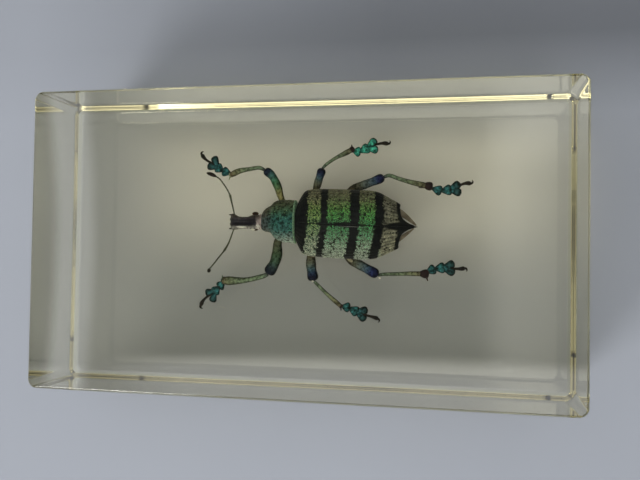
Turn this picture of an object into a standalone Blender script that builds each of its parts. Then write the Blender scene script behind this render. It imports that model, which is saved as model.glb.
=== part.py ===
"""Insect in resin block: the solid cast block, in metres, +Z up.

The block is one clear casting with a weevil sealed inside it, so it comes apart into nothing. It lies on its
large face with its length along X. The origin is at the middle of the bottom face.
"""

import bmesh
import bpy
from mathutils import Vector

COLLECTION_NAME = "Insect in resin block"

LENGTH = 0.0730
WIDTH = 0.0408
HEIGHT = 0.0200

# The casting comes out of an open-topped mould: the mould rounds the corners and the lower rim,
# and polishing only breaks the edge of the upper face.
CORNER_RADIUS = 0.0012
LOWER_RIM_RADIUS = 0.0009
UPPER_RIM_RADIUS = 0.0004

CORNER_SEGMENTS = 6
LOWER_RIM_SEGMENTS = 5
UPPER_RIM_SEGMENTS = 4
ROUND_PROFILE = 0.5
SMOOTH_ANGLE = 0.6  # radians; the flat faces stay flat beside the rounded edges
EDGE_TOLERANCE = 1e-6

RESIN_COLOUR = (0.90, 0.91, 0.80, 1.0)
RESIN_ROUGHNESS = 0.03
RESIN_IOR = 1.55


def clear_scene():
    for old in list(bpy.data.objects):
        bpy.data.objects.remove(old, do_unlink=True)


def make_collection(name):
    collection = bpy.data.collections.new(name)
    bpy.context.scene.collection.children.link(collection)
    return collection


def make_resin_material():
    material = bpy.data.materials.new("clear cast resin")
    material.use_nodes = True
    shader = material.node_tree.nodes["Principled BSDF"]
    shader.inputs["Base Color"].default_value = RESIN_COLOUR
    shader.inputs["Roughness"].default_value = RESIN_ROUGHNESS
    shader.inputs["Metallic"].default_value = 0.0
    shader.inputs["IOR"].default_value = RESIN_IOR
    shader.inputs["Transmission Weight"].default_value = 1.0
    return material


def is_vertical(edge):
    along = edge.verts[1].co - edge.verts[0].co
    return along.xy.length < EDGE_TOLERANCE < abs(along.z)


def lies_at(edge, height):
    return all(abs(vert.co.z - height) < EDGE_TOLERANCE for vert in edge.verts)


def round_edges(bm, edges, radius, segments):
    bmesh.ops.bevel(
        bm,
        geom=edges,
        offset=radius,
        offset_type="OFFSET",
        affect="EDGES",
        segments=segments,
        profile=ROUND_PROFILE,
        material=-1,
    )


def make_block(collection):
    """The casting: a box on z = 0 with rounded corners, a soft lower rim and a crisp upper rim."""
    bpy.ops.mesh.primitive_cube_add(size=1.0)
    block = bpy.context.object
    block.name = block.data.name = "resin_block"

    bm = bmesh.new()
    bm.from_mesh(block.data)
    bmesh.ops.scale(bm, vec=Vector((LENGTH, WIDTH, HEIGHT)), verts=bm.verts)
    bmesh.ops.translate(bm, vec=Vector((0.0, 0.0, HEIGHT / 2)), verts=bm.verts)
    round_edges(bm, [e for e in bm.edges if is_vertical(e)], CORNER_RADIUS, CORNER_SEGMENTS)
    round_edges(bm, [e for e in bm.edges if lies_at(e, 0.0)], LOWER_RIM_RADIUS, LOWER_RIM_SEGMENTS)
    round_edges(bm, [e for e in bm.edges if lies_at(e, HEIGHT)], UPPER_RIM_RADIUS, UPPER_RIM_SEGMENTS)
    bm.to_mesh(block.data)
    bm.free()

    block.data.shade_smooth()
    block.data.set_sharp_from_angle(angle=SMOOTH_ANGLE)
    block.data.materials.append(make_resin_material())
    for holder in list(block.users_collection):
        holder.objects.unlink(block)
    collection.objects.link(block)
    return block


def main():
    clear_scene()
    make_block(make_collection(COLLECTION_NAME))


main()
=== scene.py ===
# A banded green weevil cast in a clear resin block, which lies flat on its large face.
# The weevil's back is up and its head is towards -X. Sizes in the dictionaries are millimetres.

import math

import bmesh
import bpy
from mathutils import Matrix, Vector, noise


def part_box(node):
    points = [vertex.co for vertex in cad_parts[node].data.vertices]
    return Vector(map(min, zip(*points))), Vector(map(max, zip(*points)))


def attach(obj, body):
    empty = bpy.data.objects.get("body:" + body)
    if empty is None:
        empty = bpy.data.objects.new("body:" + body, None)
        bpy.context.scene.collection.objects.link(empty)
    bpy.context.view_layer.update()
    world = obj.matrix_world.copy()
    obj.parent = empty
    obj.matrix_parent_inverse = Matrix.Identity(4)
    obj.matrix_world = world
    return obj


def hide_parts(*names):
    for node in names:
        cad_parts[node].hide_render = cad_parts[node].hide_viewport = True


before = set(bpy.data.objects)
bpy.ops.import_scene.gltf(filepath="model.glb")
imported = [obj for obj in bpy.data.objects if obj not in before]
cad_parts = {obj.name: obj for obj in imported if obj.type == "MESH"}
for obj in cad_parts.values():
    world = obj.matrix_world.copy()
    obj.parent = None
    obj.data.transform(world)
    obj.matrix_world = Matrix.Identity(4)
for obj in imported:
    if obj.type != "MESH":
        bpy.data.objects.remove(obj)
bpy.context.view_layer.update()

mm = 0.001
blockLow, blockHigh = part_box("resin_block")
blockMiddle = (blockLow + blockHigh) / 2

# Where the weevil's waist lies from the middle of the block, and how its body leans.
weevilPlace = {
    "waist": (-0.5, 2.84, 0.0),
    "roll": 3.0,
    "hindYaw": -2.1,
}
toWaist = Matrix.Translation(blockMiddle + Vector(weevilPlace["waist"]) * mm) @ Matrix.Scale(mm, 4)
leaning = Matrix.Rotation(math.radians(weevilPlace["roll"]), 4, "X")
foreBody = toWaist @ leaning
hindBody = toWaist @ Matrix.Rotation(math.radians(weevilPlace["hindYaw"]), 4, "Z") @ leaning


def curveAt(stops, place):
    # a smooth curve through (place, value, value...) stops; it holds its end values outside them
    if place <= stops[0][0]:
        return stops[0][1:]
    if place >= stops[-1][0]:
        return stops[-1][1:]
    i = max(k for k in range(len(stops) - 1) if stops[k][0] <= place)
    before, a, b, after = stops[max(i - 1, 0)], stops[i], stops[i + 1], stops[min(i + 2, len(stops) - 1)]
    span = b[0] - a[0]
    s = (place - a[0]) / span
    values = []
    for k in range(1, len(a)):
        slopeA = (b[k] - before[k]) / (b[0] - before[0]) * span
        slopeB = (after[k] - a[k]) / (after[0] - a[0]) * span
        values.append(
            (2 * s**3 - 3 * s**2 + 1) * a[k] + (s**3 - 2 * s**2 + s) * slopeA
            + (3 * s**2 - 2 * s**3) * b[k] + (s**3 - s**2) * slopeB
        )
    return tuple(values)


def bump(distance, width):
    # a rounded hill, 1 in the middle and 0 far off
    return math.exp(-((distance / width) ** 2))


def ramp01(value, low, high):
    t = min(max((value - low) / (high - low), 0.0), 1.0)
    return t * t * (3 - 2 * t)


def boxier(value, power):
    # powers below 1 make a round section fuller at its corners
    return math.copysign(abs(value) ** power, value)


def alongStops(stops, step):
    return stops[0][0] + (stops[-1][0] - stops[0][0]) * step


def between(a, b, share):
    return Vector(a).lerp(Vector(b), share)


def smoothRoute(points, steps):
    points = [Vector(p) for p in points]
    stops = [(i, *p) for i, p in enumerate(points)]
    count = steps * (len(points) - 1)
    return [Vector(curveAt(stops, (len(points) - 1) * i / count)) for i in range(count + 1)]


def growRings(bm, placeRing, steps, sides):
    # one circle, extruded step by step; placeRing(step from 0 to 1, angle) puts each vertex in place
    around = bm.verts.layers.float.get("around") or bm.verts.layers.float.new("around")
    along = bm.verts.layers.float.get("along") or bm.verts.layers.float.new("along")
    ring = bmesh.ops.create_circle(bm, segments=sides, radius=1.0)["verts"]
    for vert in ring:
        vert[around] = math.atan2(vert.co.y, vert.co.x)
        vert.co = placeRing(0.0, vert[around])
    # dicts keep the order in which the mesh grows, where sets would not
    rim = dict.fromkeys(edge for vert in ring for edge in vert.link_edges)
    ends = [list(rim)]
    for step in range(1, steps + 1):
        grown = bmesh.ops.extrude_edge_only(bm, edges=list(rim))["geom"]
        fresh = dict.fromkeys(item for item in grown if isinstance(item, bmesh.types.BMVert))
        rim = dict.fromkeys(e for v in fresh for e in v.link_edges if e.other_vert(v) in fresh)
        for vert in fresh:
            vert.co = placeRing(step / steps, vert[around])
            vert[along] = step / steps
    ends.append(list(rim))
    for rimEdges in ends:
        cap = bmesh.ops.edgeloop_fill(bm, edges=rimEdges)["faces"]
        bmesh.ops.poke(bm, faces=cap)


def fixFaceOrder(bm):
    # an extrusion leaves its faces in a varying order, and the sowing of scales follows it
    bm.verts.index_update()
    count = len(bm.verts)

    def rank(face):
        first, second, third = sorted(vert.index for vert in face.verts)[:3]
        return (first * count + second) * count + third

    bm.faces.sort(key=rank)


def markCover(bm, thickness):
    # how thick the scales are sown at each vertex
    fixFaceOrder(bm)
    cover = bm.verts.layers.float.new("cover")
    for vert in bm.verts:
        vert[cover] = thickness(vert.co)


def growLimb(bm, route, girth, sides=14, flat=1.0, steps=8):
    # a round limb along a route; girth(0 to 1) gives its half width, flat its depth over its width
    path = smoothRoute(route, steps)
    lengths = [0.0]
    for i in range(1, len(path)):
        lengths.append(lengths[-1] + (path[i] - path[i - 1]).length)

    def placeRing(step, angle):
        i = round(step * (len(path) - 1))
        ahead = (path[min(i + 1, len(path) - 1)] - path[max(i - 1, 0)]).normalized()
        side = ahead.cross(Vector((0.0, 0.0, 1.0))).normalized()
        up = side.cross(ahead)
        wide = girth(lengths[i] / lengths[-1])
        return path[i] + side * wide * math.cos(angle) + up * wide * flat * math.sin(angle)

    growRings(bm, placeRing, len(path) - 1, sides)


def tidyMesh(bm, place):
    bmesh.ops.remove_doubles(bm, verts=bm.verts, dist=1e-5)
    bmesh.ops.recalc_face_normals(bm, faces=bm.faces)
    bmesh.ops.transform(bm, matrix=place, verts=bm.verts)


def showPiece(bm, name, finish, smooth=True):
    mesh = bpy.data.meshes.new(name)
    bm.to_mesh(mesh)
    bm.free()
    if smooth:
        mesh.shade_smooth()
    return showMesh(mesh, name, finish)


def placePiece(bm, place, name, finish, smooth=True):
    tidyMesh(bm, place)
    return showPiece(bm, name, finish, smooth)


def showMesh(mesh, name, finish):
    piece = bpy.data.objects.new(name, mesh)
    bpy.context.scene.collection.objects.link(piece)
    mesh.materials.clear()
    mesh.materials.append(finish)
    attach(piece, "root")
    return piece


def newFinish(name, colour, roughness, metallic=0.0, specular=0.1):
    finish = bpy.data.materials.new(name)
    finish.use_nodes = True
    shader = finish.node_tree.nodes["Principled BSDF"]
    shader.inputs["Base Color"].default_value = (*colour, 1.0)
    shader.inputs["Roughness"].default_value = roughness
    shader.inputs["Metallic"].default_value = metallic
    shader.inputs["Specular IOR Level"].default_value = specular
    return finish, finish.node_tree, shader


def nodeOf(tree, kind, inputs=None, **settings):
    # a node with its settings; each input is given a value or linked to a socket
    node = tree.nodes.new(kind)
    for setting, value in settings.items():
        setattr(node, setting, value)
    for place, value in (inputs or {}).items():
        if isinstance(value, bpy.types.NodeSocket):
            tree.links.new(value, node.inputs[place])
        else:
            node.inputs[place].default_value = value
    return node


def objectPoint(tree, scale=(1.0, 1.0, 1.0), shift=(0.0, 0.0, 0.0)):
    point = nodeOf(tree, "ShaderNodeTexCoord").outputs["Object"]
    inputs = {"Vector": point, "Scale": scale, "Location": shift}
    return nodeOf(tree, "ShaderNodeMapping", inputs).outputs["Vector"]


# how far each finish spreads its colours, in millimetres
finishReach = {"snout": 2.4, "pronotum": 6.2, "cases": 9.4}


def waistPoint(tree, reach):
    # object coordinates counted from the waist, where 1 is the reach in millimetres
    middle = blockMiddle + Vector(weevilPlace["waist"]) * mm
    scale = 1.0 / (reach * mm)
    return objectPoint(tree, (scale,) * 3, tuple(-middle * scale))


def noiseOf(tree, point, scale, detail=3.0, rough=0.6):
    inputs = {"Vector": point, "Scale": scale, "Detail": detail, "Roughness": rough}
    return nodeOf(tree, "ShaderNodeTexNoise", inputs).outputs["Fac"]


def attributeOf(tree, name):
    return nodeOf(tree, "ShaderNodeAttribute", attribute_name=name).outputs["Fac"]


def axisOf(tree, point, axis):
    return nodeOf(tree, "ShaderNodeSeparateXYZ", {"Vector": point}).outputs[axis]


def mathOf(tree, kind, a, b):
    return nodeOf(tree, "ShaderNodeMath", {0: a, 1: b}, operation=kind).outputs["Value"]


def sumOf(tree, a, b):
    return mathOf(tree, "ADD", a, b)


def timesOf(tree, a, b):
    return mathOf(tree, "MULTIPLY", a, b)


def swayOf(tree, value, amount):
    # a noise or chance value, made to swing around zero
    return timesOf(tree, mathOf(tree, "SUBTRACT", value, 0.5), amount)


def acrossOf(tree, point):
    # 0 on the left flank, 1 on the right one
    return sumOf(tree, axisOf(tree, point, "Y"), 0.5)


def rampOf(tree, factor, stops):
    node = nodeOf(tree, "ShaderNodeValToRGB", {"Fac": factor})
    band = node.color_ramp
    while len(band.elements) < len(stops):
        band.elements.new(0.5)
    for element, (place, colour) in zip(band.elements, stops):
        element.position = place
        element.color = (*colour, 1.0)
    return node.outputs["Color"]


def greyRamp(tree, factor, *stops):
    return rampOf(tree, factor, [(place, (value,) * 3) for place, value in stops])


def mixOf(tree, factor, a, b, kind="MIX"):
    # its sockets 6 and 7 take the two colours, and its output 2 gives the mixed one
    a, b = ((*c, 1.0) if isinstance(c, tuple) else c for c in (a, b))
    inputs = {0: factor, 6: a, 7: b}
    return nodeOf(tree, "ShaderNodeMix", inputs, data_type="RGBA", blend_type=kind).outputs[2]


def shadedBy(tree, colour, shade):
    return mixOf(tree, 1.0, colour, shade, "MULTIPLY")


def paint(tree, shader, colour):
    tree.links.new(colour, shader.inputs["Base Color"])


def bumpOf(tree, shader, height, strength, distance):
    inputs = {"Height": height, "Strength": strength, "Distance": distance}
    tree.links.new(nodeOf(tree, "ShaderNodeBump", inputs).outputs["Normal"], shader.inputs["Normal"])


resinLook = {
    "ior": 1.55,
    "sideTint": (0.95, 0.94, 0.74),
    "roughness": 0.012,
    "clearColour": (0.93, 0.86, 0.42),
    "density": 15.0,
}


def makeResinFinish():
    white = (1.0, 1.0, 1.0)
    finish, tree, shader = newFinish("clear cast resin", white, resinLook["roughness"], specular=0.5)
    shader.inputs["Transmission Weight"].default_value = 1.0
    shader.inputs["IOR"].default_value = resinLook["ior"]
    soak = nodeOf(tree, "ShaderNodeVolumeAbsorption", {
        "Color": (*resinLook["clearColour"], 1.0),
        "Density": resinLook["density"],
    })
    tree.links.new(soak.outputs["Volume"], tree.nodes["Material Output"].inputs["Volume"])
    # the side faces and rims have aged to a pale straw colour, the two polished faces have not
    facing = nodeOf(tree, "ShaderNodeNewGeometry").outputs["Normal"]
    upright = mathOf(tree, "ABSOLUTE", axisOf(tree, facing, "Z"), 0.0)
    tint = rampOf(tree, upright, [(0.9, resinLook["sideTint"]), (0.99, white)])
    paint(tree, shader, tint)
    bumpOf(tree, shader, noiseOf(tree, objectPoint(tree), 70.0, 1.0), 0.006, 0.001)
    return finish


def makeCuticleFinish(name, dark, light, roughness=0.34, scale=5000.0, depth=0.00003):
    finish, tree, shader = newFinish(name, dark, roughness)
    point = objectPoint(tree)
    patches = noiseOf(tree, point, 900.0, 4.0)
    paint(tree, shader, rampOf(tree, patches, [(0.35, dark), (0.7, light)]))
    grain = noiseOf(tree, point, scale, 3.0)
    tree.links.new(
        greyRamp(tree, grain, (0.3, roughness * 0.75), (0.7, roughness * 1.35)),
        shader.inputs["Roughness"],
    )
    bumpOf(tree, shader, grain, 0.6, depth)
    return finish


snoutColours = {
    # from its left side to its right one; the pale grey near the left side is a painted silvery highlight
    # streak, and the near-white left end of the neck colours is a painted glint
    "acrossStops": [
        (0.0, (0.07, 0.06, 0.06)), (0.1, (0.26, 0.25, 0.24)), (0.2, (0.34, 0.33, 0.32)),
        (0.28, (0.03, 0.025, 0.03)),
        (0.36, (0.012, 0.009, 0.018)), (0.62, (0.014, 0.011, 0.02)), (0.72, (0.045, 0.036, 0.042)),
        (0.86, (0.075, 0.062, 0.055)), (1.0, (0.025, 0.02, 0.02)),
    ],
    "neckStops": [
        (0.0, (0.8, 0.76, 0.72)), (0.35, (0.66, 0.56, 0.56)), (0.55, (0.34, 0.27, 0.27)),
        (0.8, (0.12, 0.1, 0.09)),
        (1.0, (0.06, 0.05, 0.045)),
    ],
}


def makeSnoutFinish():
    finish, tree, shader = newFinish("snout cuticle", (0.03, 0.03, 0.03), 0.3, 0.0, 0.3)
    point = waistPoint(tree, finishReach["snout"])
    mottle = noiseOf(tree, objectPoint(tree), 3200.0, 3.0)
    wander = swayOf(tree, mottle, 0.35)
    across = sumOf(tree, acrossOf(tree, point), wander)
    colour = rampOf(tree, across, snoutColours["acrossStops"])
    shade = greyRamp(tree, mottle, (0.36, 0.35), (0.62, 1.4))
    colour = shadedBy(tree, colour, shade)
    place = sumOf(tree, sumOf(tree, axisOf(tree, point, "X"), 3.0), wander)
    neck = greyRamp(tree, place, (0.66, 0.0), (0.74, 1.0))
    neckColour = rampOf(tree, across, snoutColours["neckStops"])
    paint(tree, shader, mixOf(tree, neck, colour, neckColour))
    bumpOf(tree, shader, mottle, 0.7, 0.00005)
    return finish


bandColours = {
    # from the left flank to the right one; the near-white left end is a painted highlight of the light on
    # that side
    "greenStops": [
        (0.0, (0.88, 1.0, 0.92)), (0.15, (0.82, 1.0, 0.82)), (0.27, (0.4, 0.88, 0.56)),
        (0.42, (0.17, 0.8, 0.3)),
        (0.66, (0.24, 0.84, 0.18)), (0.8, (0.42, 0.58, 0.2)), (1.0, (0.46, 0.42, 0.25)),
    ],
    "yellowStops": [
        (0.0, (0.92, 1.0, 0.9)), (0.26, (0.96, 1.0, 0.74)), (0.42, (0.66, 0.92, 0.42)),
        (0.66, (0.66, 0.96, 0.28)), (0.82, (0.64, 0.62, 0.3)), (1.0, (0.42, 0.38, 0.24)),
    ],
    "oliveStops": [
        (0.0, (0.72, 0.76, 0.5)), (0.3, (0.62, 0.64, 0.4)), (0.6, (0.54, 0.56, 0.36)),
        (1.0, (0.38, 0.36, 0.24)),
    ],
}


def makeBandScaleFinish():
    finish, tree, shader = newFinish("green band scales", (0.1, 0.3, 0.1), 0.4, 0.25)
    point = waistPoint(tree, finishReach["cases"])
    chance = attributeOf(tree, "scaleChance")
    across = acrossOf(tree, point)
    across = sumOf(tree, across, swayOf(tree, chance, 0.22))
    place = axisOf(tree, point, "X")
    colour = mixOf(
        tree, greyRamp(tree, place, (0.4, 0.0), (0.44, 1.0)),
        rampOf(tree, across, bandColours["yellowStops"]), rampOf(tree, across, bandColours["greenStops"]),
    )
    tail = mathOf(tree, "SUBTRACT", place, 0.5)
    colour = mixOf(
        tree, greyRamp(tree, tail, (0.69, 0.0), (0.75, 1.0)),
        colour, rampOf(tree, across, bandColours["oliveStops"]),
    )
    shade = greyRamp(tree, chance, (0.0, 0.4), (0.4, 0.9), (1.0, 1.4))
    paint(tree, shader, shadedBy(tree, colour, shade))
    return finish


# the darkest and the lightest black of the horn
hornColours = ((0.004, 0.005, 0.005), (0.011, 0.014, 0.012))
washColours = {
    # the cuticle under the bands, from the left flank to the right one; its paler left end is a painted
    # highlight
    "bands": [
        (0.0, (0.32, 0.4, 0.32)), (0.2, (0.22, 0.32, 0.21)), (0.42, (0.08, 0.19, 0.08)),
        (0.68, (0.1, 0.21, 0.06)), (0.82, (0.21, 0.23, 0.13)), (1.0, (0.28, 0.27, 0.18)),
    ],
    "tail": [
        (0.0, (0.5, 0.5, 0.38)), (0.4, (0.42, 0.42, 0.3)), (0.6, (0.34, 0.34, 0.25)),
        (1.0, (0.3, 0.29, 0.21)),
    ],
}


def makeCaseFinish():
    finish, tree, shader = newFinish("wing case", (0.006, 0.007, 0.007), 0.34)
    point = waistPoint(tree, finishReach["cases"])
    across = acrossOf(tree, point)
    along = mathOf(tree, "SUBTRACT", axisOf(tree, point, "X"), 0.5)
    tail = greyRamp(tree, along, (0.7, 0.0), (0.76, 1.0))
    banded = rampOf(tree, across, washColours["bands"])
    wash = mixOf(tree, tail, banded, rampOf(tree, across, washColours["tail"]))
    blotch = greyRamp(tree, noiseOf(tree, objectPoint(tree), 1800.0, 3.0), (0.38, 0.45), (0.62, 1.15))
    wash = shadedBy(tree, wash, blotch)
    mottle = noiseOf(tree, objectPoint(tree), 900.0, 4.0)
    black = rampOf(tree, mottle, [(0.35, hornColours[0]), (0.7, hornColours[1])])
    paint(tree, shader, mixOf(tree, attributeOf(tree, "wash"), black, wash))
    bumpOf(tree, shader, noiseOf(tree, objectPoint(tree), 5000.0, 3.0), 0.6, 0.00003)
    return finish


def makePronotumScaleFinish():
    finish, tree, shader = newFinish("teal collar scales", (0.03, 0.2, 0.14), 0.4, 0.3)
    point = waistPoint(tree, finishReach["pronotum"])
    chance = attributeOf(tree, "scaleChance")
    across = acrossOf(tree, point)
    across = sumOf(tree, across, swayOf(tree, chance, 0.3))
    # the near-white left end is a painted highlight of the light on the left flank
    colour = rampOf(tree, across, [
        (0.0, (0.95, 1.0, 0.92)),
        (0.13, (0.6, 0.86, 0.78)),
        (0.26, (0.18, 0.56, 0.44)),
        (0.5, (0.08, 0.52, 0.34)),
        (0.66, (0.13, 0.54, 0.27)),
        (0.8, (0.3, 0.5, 0.2)),
        (1.0, (0.38, 0.36, 0.24)),
    ])
    place = sumOf(tree, axisOf(tree, point, "X"), 1.0)
    front = greyRamp(tree, place, (0.3, 0.45), (0.54, 1.0))
    colour = shadedBy(tree, colour, front)
    rear = greyRamp(tree, place, (0.968, 0.0), (0.978, 1.0))
    colour = mixOf(tree, rear, colour, (0.55, 0.95, 0.55))
    shade = greyRamp(tree, chance, (0.0, 0.4), (1.0, 1.5))
    paint(tree, shader, shadedBy(tree, colour, shade))
    return finish


def makePronotumFinish():
    finish, tree, shader = newFinish("pronotum cuticle", (0.02, 0.04, 0.04), 0.42)
    point = waistPoint(tree, finishReach["pronotum"])
    mottle = noiseOf(tree, objectPoint(tree), 1500.0, 4.0)
    wander = swayOf(tree, mottle, 0.25)
    across = sumOf(tree, acrossOf(tree, point), wander)
    # the paler left ends of the rear and front colours are a painted highlight
    rear = rampOf(tree, across, [
        (0.0, (0.46, 0.54, 0.48)), (0.14, (0.26, 0.36, 0.33)), (0.3, (0.06, 0.19, 0.17)),
        (0.55, (0.04, 0.16, 0.14)), (0.72, (0.08, 0.18, 0.1)), (0.88, (0.12, 0.15, 0.08)),
        (1.0, (0.12, 0.12, 0.08)),
    ])
    front = rampOf(tree, across, [
        (0.0, (0.24, 0.25, 0.22)), (0.3, (0.1, 0.13, 0.13)), (0.55, (0.07, 0.1, 0.1)),
        (0.75, (0.14, 0.13, 0.09)),
        (1.0, (0.11, 0.095, 0.075)),
    ])
    along = sumOf(tree, sumOf(tree, axisOf(tree, point, "X"), 1.0), wander)
    colour = mixOf(tree, greyRamp(tree, along, (0.36, 0.0), (0.56, 1.0)), front, rear)
    shade = greyRamp(tree, noiseOf(tree, objectPoint(tree), 2600.0, 3.0), (0.4, 0.15), (0.58, 1.3))
    colour = shadedBy(tree, colour, shade)
    margin = sumOf(tree, axisOf(tree, point, "X"), 1.0)
    colour = mixOf(tree, greyRamp(tree, margin, (0.966, 0.0), (0.976, 1.0)), colour, (0.24, 0.42, 0.27))
    paint(tree, shader, colour)
    bumpOf(tree, shader, mottle, 0.5, 0.00005)
    return finish


def makeLimbFinish(name, stops, streakShade, metallic=0.15, roughness=0.38):
    # colour runs along the limb, its flanks and underside are darkened with painted shade so that only a
    # strip along the top stays bright, and it is streaked all over
    finish, tree, shader = newFinish(name, stops[0][1], roughness, metallic)
    colour = rampOf(tree, attributeOf(tree, "along"), stops)
    around = attributeOf(tree, "around")
    height = sumOf(tree, timesOf(tree, mathOf(tree, "SINE", around, 0.0), 0.5), 0.5)
    # painted shade: all but the top of the limb is darkened
    flank = greyRamp(tree, height, (0.72, 0.06), (0.98, 1.0))
    streaks = noiseOf(tree, objectPoint(tree), 2400.0, 4.0)
    shade = greyRamp(tree, streaks, (0.38, streakShade), (0.6, 1.25))
    colour = shadedBy(tree, colour, flank)
    paint(tree, shader, shadedBy(tree, colour, shade))
    bumpOf(tree, shader, noiseOf(tree, objectPoint(tree), 6000.0, 2.0), 0.5, 0.00003)
    return finish


def makeLimbScaleFinish(name, stops):
    finish, tree, shader = newFinish(name, stops[0][1], 0.36, 0.35)
    colour = rampOf(tree, attributeOf(tree, "along"), stops)
    shade = greyRamp(tree, attributeOf(tree, "scaleChance"), (0.0, 0.5), (1.0, 1.6))
    paint(tree, shader, shadedBy(tree, colour, shade))
    return finish


limbColours = {
    "frontFemurRight": [
        (0.0, (0.6, 0.54, 0.24)), (0.36, (0.5, 0.48, 0.2)), (0.46, (0.16, 0.26, 0.11)),
        (0.62, (0.09, 0.3, 0.16)), (0.75, (0.1, 0.28, 0.26)), (0.86, (0.02, 0.04, 0.08)),
        (1.0, (0.01, 0.012, 0.03)),
    ],
    "frontFemurLeft": [
        (0.0, (0.17, 0.17, 0.1)), (0.34, (0.18, 0.2, 0.12)), (0.55, (0.11, 0.19, 0.1)),
        (0.72, (0.1, 0.19, 0.12)), (0.84, (0.06, 0.1, 0.11)), (0.92, (0.02, 0.03, 0.045)),
        (1.0, (0.012, 0.014, 0.03)),
    ],
    "midFemur": [
        (0.0, (0.2, 0.17, 0.1)), (0.48, (0.22, 0.2, 0.12)), (0.64, (0.26, 0.29, 0.22)),
        (0.76, (0.13, 0.24, 0.28)), (0.86, (0.05, 0.09, 0.19)), (0.93, (0.015, 0.02, 0.06)),
        (1.0, (0.01, 0.012, 0.04)),
    ],
    "hindFemur": [
        (0.0, (0.2, 0.17, 0.1)), (0.34, (0.11, 0.1, 0.06)), (0.46, (0.2, 0.21, 0.15)),
        (0.62, (0.2, 0.27, 0.28)),
        (0.76, (0.1, 0.18, 0.29)), (0.86, (0.035, 0.05, 0.19)), (1.0, (0.012, 0.012, 0.06)),
    ],
    "tibia": [
        (0.0, (0.04, 0.05, 0.06)), (0.07, (0.16, 0.22, 0.17)), (0.25, (0.25, 0.35, 0.23)),
        (0.6, (0.27, 0.36, 0.23)),
        (0.85, (0.28, 0.29, 0.17)), (1.0, (0.15, 0.11, 0.07)),
    ],
    "pads": [
        (0.0, (0.01, 0.03, 0.025)), (0.28, (0.025, 0.09, 0.09)), (0.58, (0.06, 0.3, 0.33)),
        (0.78, (0.04, 0.17, 0.18)), (0.9, (0.01, 0.035, 0.04)), (1.0, (0.005, 0.014, 0.016)),
    ],
    "lobes": [
        (0.0, (0.03, 0.15, 0.17)), (0.35, (0.045, 0.2, 0.23)), (0.68, (0.035, 0.11, 0.12)),
        (0.86, (0.012, 0.035, 0.036)), (1.0, (0.007, 0.015, 0.015)),
    ],
    "brightPads": [
        (0.0, (0.01, 0.05, 0.04)), (0.28, (0.03, 0.28, 0.22)), (0.58, (0.1, 0.72, 0.55)),
        (0.8, (0.06, 0.42, 0.34)), (0.92, (0.01, 0.07, 0.06)), (1.0, (0.005, 0.02, 0.02)),
    ],
}

resinFinish = makeResinFinish()
caseFinish = makeCaseFinish()
blackFinish = makeCuticleFinish("black horn", *hornColours)
bellyFinish = makeCuticleFinish("underside cuticle", (0.01, 0.01, 0.009), (0.05, 0.045, 0.03), 0.42)
snoutFinish = makeSnoutFinish()
collarFinish = makePronotumFinish()
clawFinish = makeCuticleFinish("claw horn", (0.008, 0.007, 0.006), (0.03, 0.024, 0.018), 0.3)
antennaFinish = makeCuticleFinish("feeler", (0.045, 0.05, 0.035), (0.13, 0.15, 0.1), 0.45)
membraneFinish = makeCuticleFinish("pale joint skin", (0.16, 0.12, 0.12), (0.62, 0.52, 0.5), 0.25)
# the air film is a pale silvery finish: a painted glint of air pockets under the resin
airGlintFinish = makeCuticleFinish("painted glint of air film", (0.75, 0.75, 0.7), (0.95, 0.94, 0.88), 0.15)
tailSkinFinish = makeCuticleFinish("dried tail skin", (0.16, 0.13, 0.09), (0.36, 0.31, 0.24), 0.4)
patchFinishes = {
    "skin": makeCuticleFinish("pale dried skin", (0.46, 0.42, 0.26), (0.8, 0.76, 0.56), 0.35),
    "air": airGlintFinish,
}
flawFinish = makeCuticleFinish("casting mark", (0.42, 0.42, 0.38), (0.6, 0.6, 0.54), 0.4)
eyeFinish = makeCuticleFinish("eye", (0.02, 0.012, 0.01), (0.12, 0.07, 0.05), 0.2)
bandFinish = makeBandScaleFinish()
pronotumScaleFinish = makePronotumScaleFinish()
limbFinishes = {
    part: makeLimbFinish(part + " cuticle", stops, 0.12 if part in ("pads", "lobes", "brightPads") else 0.3)
    for part, stops in limbColours.items()
}
limbScaleFinishes = {
    part: makeLimbScaleFinish(part + " scales", stops) for part, stops in limbColours.items()
}
tipFinishes = {
    "brown": makeCuticleFinish("brown shin tip", (0.008, 0.005, 0.006), (0.05, 0.026, 0.025)),
    "green": makeCuticleFinish("green shin tip", (0.03, 0.07, 0.05), (0.12, 0.22, 0.15)),
    "pale": makeCuticleFinish("pale shin tip", (0.16, 0.2, 0.14), (0.34, 0.36, 0.24)),
}
print("finishes ready")


scaleShape = {
    "length": 0.17,
    "width": 0.12,
    "thickness": 0.03,
    "spacing": 0.115,
    "taper": 0.35,
    "spin": 0.5,
    "growth": (0.75, 1.15),
    "perArea": 2.5,
}


def makeScaleStamp():
    # one flat pointed plate, which the sowing repeats
    bm = bmesh.new()
    bmesh.ops.create_icosphere(bm, subdivisions=1, radius=0.5)
    for vert in bm.verts:
        taper = 1.0 - scaleShape["taper"] * (vert.co.x + 0.5)
        vert.co = Vector((
            vert.co.x * scaleShape["length"],
            vert.co.y * scaleShape["width"] * taper,
            vert.co.z * scaleShape["thickness"],
        )) * mm
    mesh = bpy.data.meshes.new("scaleStamp")
    bm.to_mesh(mesh)
    bm.free()
    mesh.shade_smooth()
    return bpy.data.objects.new("scaleStamp", mesh)


scaleStamp = makeScaleStamp()


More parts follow.
